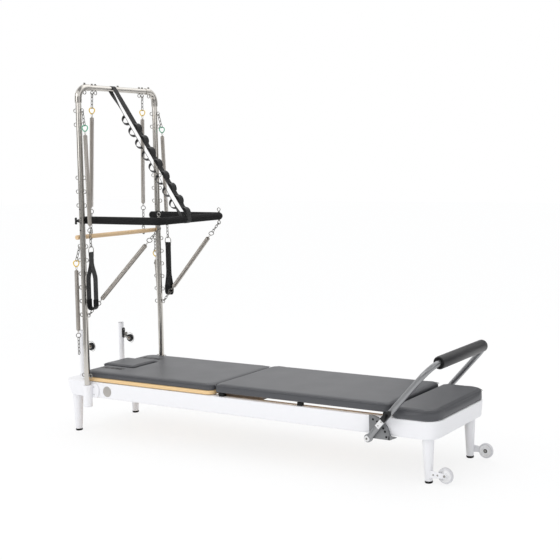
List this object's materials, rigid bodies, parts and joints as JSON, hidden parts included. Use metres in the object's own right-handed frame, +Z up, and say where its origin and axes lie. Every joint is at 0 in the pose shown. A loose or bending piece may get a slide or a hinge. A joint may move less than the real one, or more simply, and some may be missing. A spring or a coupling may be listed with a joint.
{
  "type": "pilates tower unit",
  "caption": "Reformer bed made up as a flat mat, with a chromed spring tower at its head end, push-through bar, roll-down bar, arm and leg springs, footbar and pulleys.",
  "frame": {"origin": "on the floor, under the middle of the unit's bounding box", "axes": "+X along the bed from the tower at the head end to the footbar, +Y from the near long side to the far one, +Z up"},
  "size_m": [2.64, 0.8046, 2.159],
  "materials": {
    "white_frame": "smooth white powder coat",
    "polished_steel": "polished",
    "spring_wire": "drawn wire, plated",
    "satin_alloy": "satin",
    "black_rubber": "matt",
    "wheel_tread": "semi-gloss",
    "birch_ply": "clear lacquer",
    "grey_vinyl": "fine matt grain",
    "grip_sleeve": "matt",
    "black_foam": "closed-cell foam skin",
    "black_webbing": "woven webbing",
    "black_plastic": "moulded"
  },
  "bodies": {
    "frame": {"side_rail_near": "white_frame", "side_rail_far": "white_frame", "head_end_beam": "white_frame", "foot_end_beam": "white_frame", "carriage_track_near": "polished_steel", "carriage_track_far": "polished_steel", "leg_head_near": "white_frame", "leg_head_far": "white_frame", "leg_foot_near": "white_frame", "leg_foot_far": "white_frame", "rubber_foot_head_near": "black_rubber", "rubber_foot_head_far": "black_rubber", "rubber_foot_foot_near": "black_rubber", "rubber_foot_foot_far": "black_rubber", "foot_platform_board": "birch_ply", "foot_platform_pad": "grey_vinyl", "spring_bar": "polished_steel", "riser_near": "white_frame", "riser_far": "white_frame", "tower_socket_near": "white_frame", "tower_socket_far": "white_frame", "tower_post_near": "polished_steel", "tower_post_far": "polished_steel", "tower_top_bar": "polished_steel", "footbar_bracket_near": "satin_alloy", "footbar_bracket_far": "satin_alloy", "push_spring_near": "spring_wire", "push_spring_far": "spring_wire", "loop_strap": "black_webbing"},
    "carriage": {"carriage_board": "birch_ply", "carriage_pad": "grey_vinyl"},
    "headrest": {"headrest_board": "birch_ply", "headrest_pad": "grey_vinyl"},
    "roller_head": {"roller_axle_head": "wheel_tread"},
    "roller_foot": {"roller_axle_foot": "wheel_tread"},
    "mat_insert": {"mat_insert_board": "birch_ply", "mat_insert_pad": "grey_vinyl"},
    "footbar": {"footbar_tube": "satin_alloy", "footbar_grip": "grip_sleeve"},
    "latch_near": {"footbar_latch_near": "black_plastic"},
    "latch_far": {"footbar_latch_far": "black_plastic"},
    "wheel_near": {"transport_wheel_near": "wheel_tread"},
    "wheel_far": {"transport_wheel_far": "wheel_tread"},
    "pulley_block_near": {"pulley_block_near": "polished_steel"},
    "pulley_block_far": {"pulley_block_far": "polished_steel"},
    "pulley_wheel_near": {"pulley_wheel_near": "black_plastic"},
    "pulley_wheel_far": {"pulley_wheel_far": "black_plastic"},
    "push_bar": {"push_bar_tube": "polished_steel", "push_bar_foam": "black_foam"},
    "knob_near": {"pivot_knob_near": "black_plastic"},
    "knob_far": {"pivot_knob_far": "black_plastic"},
    "roll_down": {"roll_down_bar": "birch_ply", "roll_down_spring_near": "spring_wire", "roll_down_spring_far": "spring_wire"},
    "arm_spring_near": {"arm_spring_near": "spring_wire"},
    "arm_spring_far": {"arm_spring_far": "spring_wire"},
    "handle_near": {"arm_handle_near": "black_webbing"},
    "handle_far": {"arm_handle_far": "black_webbing"},
    "leg_spring_near": {"leg_spring_near": "spring_wire"},
    "leg_spring_far": {"leg_spring_far": "spring_wire"}
  },
  "joints": [
    {"name": "carriage_slide", "type": "slide", "parent": "frame", "child": "carriage", "axis": [1, 0, 0], "range_m": [-0.07, 0.004]},
    {"name": "headrest_hinge", "type": "hinge", "parent": "carriage", "child": "headrest", "pos_m": [-0.94297, 0, 0.4], "axis": [0, 1, 0], "range_deg": [0, 30]},
    {"name": "roller_head_spin", "type": "hinge", "parent": "carriage", "child": "roller_head", "pos_m": [-1.03497, 0, 0.3093], "axis": [0, 1, 0], "continuous": true},
    {"name": "roller_foot_spin", "type": "hinge", "parent": "carriage", "child": "roller_foot", "pos_m": [-0.27897, 0, 0.3093], "axis": [0, 1, 0], "continuous": true},
    {"name": "mat_insert_lift", "type": "slide", "parent": "frame", "child": "mat_insert", "axis": [0, 0, 1], "range_m": [0, 0.25]},
    {"name": "footbar_hinge", "type": "hinge", "parent": "frame", "child": "footbar", "pos_m": [0.88103, 0, 0.222], "axis": [0, 1, 0], "range_deg": [-30, 40]},
    {"name": "latch_near_pull", "type": "slide", "parent": "footbar", "child": "latch_near", "axis": [0, -1, 0], "range_m": [0, 0.012], "stiffness_N_per_m": 400, "springref_m": -0.02},
    {"name": "wheel_near_spin", "type": "hinge", "parent": "frame", "child": "wheel_near", "pos_m": [1.27903, -0.259, 0.05], "axis": [0, 1, 0], "continuous": true},
    {"name": "pulley_block_near_swivel", "type": "hinge", "parent": "frame", "child": "pulley_block_near", "pos_m": [-1.26297, -0.177, 0.549], "axis": [1, 0, 0], "range_deg": [-40, 40]},
    {"name": "pulley_wheel_near_spin", "type": "hinge", "parent": "pulley_block_near", "child": "pulley_wheel_near", "pos_m": [-1.22097, -0.177, 0.519], "axis": [0, 1, 0], "continuous": true},
    {"name": "knob_near_turn", "type": "hinge", "parent": "frame", "child": "knob_near", "pos_m": [-1.09997, -0.343, 1.325], "axis": [0, 1, 0], "continuous": true},
    {"name": "arm_spring_near_swing", "type": "hinge", "parent": "frame", "child": "arm_spring_near", "pos_m": [-1.07097, -0.343, 1.988], "axis": [0, -1, 0], "range_deg": [0, 75]},
    {"name": "handle_near_pull", "type": "slide", "parent": "arm_spring_near", "child": "handle_near", "axis": [0, 0, -1], "range_m": [0, 0.25], "stiffness_N_per_m": 300, "springref_m": -0.1, "deforming": ["arm_spring_near"]},
    {"name": "leg_spring_near_swing", "type": "hinge", "parent": "frame", "child": "leg_spring_near", "pos_m": [-1.12897, -0.343, 1.168], "axis": [0, 1, 0], "range_deg": [0, 75]},
    {"name": "latch_far_pull", "type": "slide", "parent": "footbar", "child": "latch_far", "axis": [0, 1, 0], "range_m": [0, 0.012], "stiffness_N_per_m": 400, "springref_m": -0.02},
    {"name": "wheel_far_spin", "type": "hinge", "parent": "frame", "child": "wheel_far", "pos_m": [1.27903, 0.259, 0.05], "axis": [0, 1, 0], "continuous": true},
    {"name": "pulley_block_far_swivel", "type": "hinge", "parent": "frame", "child": "pulley_block_far", "pos_m": [-1.26297, 0.177, 0.549], "axis": [1, 0, 0], "range_deg": [-40, 40]},
    {"name": "pulley_wheel_far_spin", "type": "hinge", "parent": "pulley_block_far", "child": "pulley_wheel_far", "pos_m": [-1.22097, 0.177, 0.519], "axis": [0, 1, 0], "continuous": true},
    {"name": "knob_far_turn", "type": "hinge", "parent": "frame", "child": "knob_far", "pos_m": [-1.09997, 0.343, 1.325], "axis": [0, 1, 0], "continuous": true},
    {"name": "arm_spring_far_swing", "type": "hinge", "parent": "frame", "child": "arm_spring_far", "pos_m": [-1.07097, 0.343, 1.988], "axis": [0, -1, 0], "range_deg": [0, 75]},
    {"name": "handle_far_pull", "type": "slide", "parent": "arm_spring_far", "child": "handle_far", "axis": [0, 0, -1], "range_m": [0, 0.25], "stiffness_N_per_m": 300, "springref_m": -0.1, "deforming": ["arm_spring_far"]},
    {"name": "leg_spring_far_swing", "type": "hinge", "parent": "frame", "child": "leg_spring_far", "pos_m": [-1.12897, 0.343, 1.168], "axis": [0, 1, 0], "range_deg": [0, 75]},
    {"name": "push_bar_hinge", "type": "hinge", "parent": "frame", "child": "push_bar", "pos_m": [-1.09997, 0, 1.325], "axis": [0, -1, 0], "range_deg": [0, 40], "stiffness_Nm_per_rad": 20, "springref_deg": -34.38, "deforming": ["push_spring_near", "push_spring_far", "loop_strap"]},
    {"name": "roll_down_swing", "type": "hinge", "parent": "frame", "child": "roll_down", "pos_m": [-1.09997, 0, 2.1], "axis": [0, 1, 0], "range_deg": [0, 60]}
  ],
  "couplings": [
    {"joint": "roller_head_spin", "follows": "carriage_slide", "rad_per_m": 66.667},
    {"joint": "roller_foot_spin", "follows": "carriage_slide", "rad_per_m": 66.667}
  ]
}
